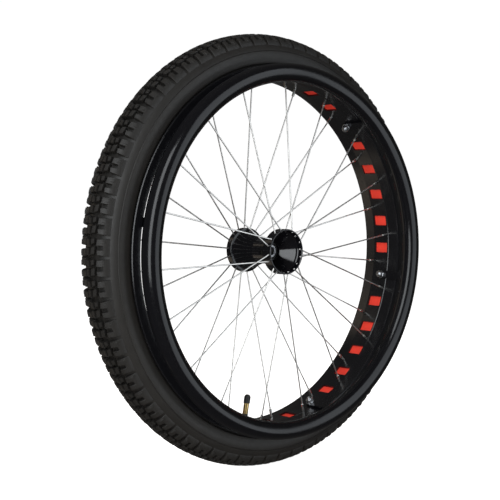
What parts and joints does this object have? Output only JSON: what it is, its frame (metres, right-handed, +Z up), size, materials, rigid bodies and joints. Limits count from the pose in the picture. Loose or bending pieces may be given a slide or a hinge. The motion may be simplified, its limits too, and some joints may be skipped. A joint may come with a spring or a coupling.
{
  "type": "spoked wheel",
  "caption": "Off-road wheelchair drive wheel with knobbly tyre, wide drilled rim, wire spokes, flanged hub on sealed bearings and a round handrim on tabs.",
  "frame": {"origin": "on the axle's axis, in the middle plane of the rim and tyre", "axes": "+Y along the axle towards the chair (inboard), the handrim is on the -Y side, +Z up, +X to the right seen from the handrim side"},
  "size_m": [0.616, 0.124, 0.616],
  "materials": {
    "tyre_rubber": "satin charcoal rubber, moulded tread",
    "tube_rubber": "matt butyl rubber",
    "rim_black": "gloss black anodised or powder-coated aluminium",
    "tape_red": "vivid red rim tape",
    "handrim_black": "gloss black coat on aluminium tube",
    "hub_black": "gloss black anodised aluminium",
    "race_steel": "ground bearing steel",
    "ball_steel": "polished bearing steel",
    "cage_brass": "pressed cage",
    "seal_rubber": "matt black seal",
    "sleeve_alu": "turned",
    "clip_steel": "phosphated spring steel",
    "spoke_steel": "drawn stainless wire",
    "nipple_nickel": "nickel-plated brass",
    "fastener_zinc": "bright zinc plate",
    "valve_brass": "machined brass",
    "valve_rubber": "moulded rubber",
    "cap_black": "black plastic",
    "plug_dark": "dark plastic"
  },
  "bodies": {
    "bearing_core": {"outboard_inner_race": "race_steel", "inboard_inner_race": "race_steel", "spacer_sleeve": "sleeve_alu"},
    "outboard_ball_set": {"outboard_balls": "ball_steel", "outboard_cage": "cage_brass"},
    "inboard_ball_set": {"inboard_balls": "ball_steel", "inboard_cage": "cage_brass"},
    "valve_core_pin": {"valve_pin": "valve_brass"},
    "valve_dust_cap": {"valve_cap": "cap_black"},
    "wheel": {"tyre": "tyre_rubber", "inner_tube": "tube_rubber", "rim": "rim_black", "rim_tape": "tape_red", "rim_joint_pins": "race_steel", "hub_shell": "hub_black", "grease_port_plug": "plug_dark", "outboard_outer_race": "race_steel", "outboard_seals": "seal_rubber", "inboard_outer_race": "race_steel", "inboard_seals": "seal_rubber", "retaining_ring": "clip_steel", "spokes_inboard": "spoke_steel", "spokes_outboard_leading": "spoke_steel", "spokes_outboard_trailing": "spoke_steel", "nipples_inboard": "nipple_nickel", "nipples_outboard": "nipple_nickel", "handrim_tube": "handrim_black", "handrim_tabs": "handrim_black", "tab_bolts": "fastener_zinc", "tab_washers": "fastener_zinc", "tab_nuts": "fastener_zinc", "valve_root": "valve_rubber", "valve_stem": "valve_brass", "valve_core": "valve_brass"}
  },
  "joints": [
    {"name": "wheel_spin", "type": "hinge", "parent": "bearing_core", "child": "wheel", "pos_m": [0, 0, 0], "axis": [0, 1, 0], "continuous": true},
    {"name": "outboard_ball_roll", "type": "hinge", "parent": "bearing_core", "child": "outboard_ball_set", "pos_m": [0, 0, 0], "axis": [0, 1, 0], "continuous": true},
    {"name": "inboard_ball_roll", "type": "hinge", "parent": "bearing_core", "child": "inboard_ball_set", "pos_m": [0, 0, 0], "axis": [0, 1, 0], "continuous": true},
    {"name": "valve_pin_press", "type": "slide", "parent": "wheel", "child": "valve_core_pin", "axis": [-0.1736, 0, -0.9848], "range_m": [0, 0.0015], "stiffness_N_per_m": 1500, "springref_m": -0.0015},
    {"name": "valve_cap_off", "type": "slide", "parent": "wheel", "child": "valve_dust_cap", "axis": [0.1736, 0, 0.9848], "range_m": [0, 0.018]}
  ],
  "couplings": [
    {"joint": "outboard_ball_roll", "follows": "wheel_spin", "ratio": 0.5934},
    {"joint": "inboard_ball_roll", "follows": "wheel_spin", "ratio": 0.5934}
  ]
}
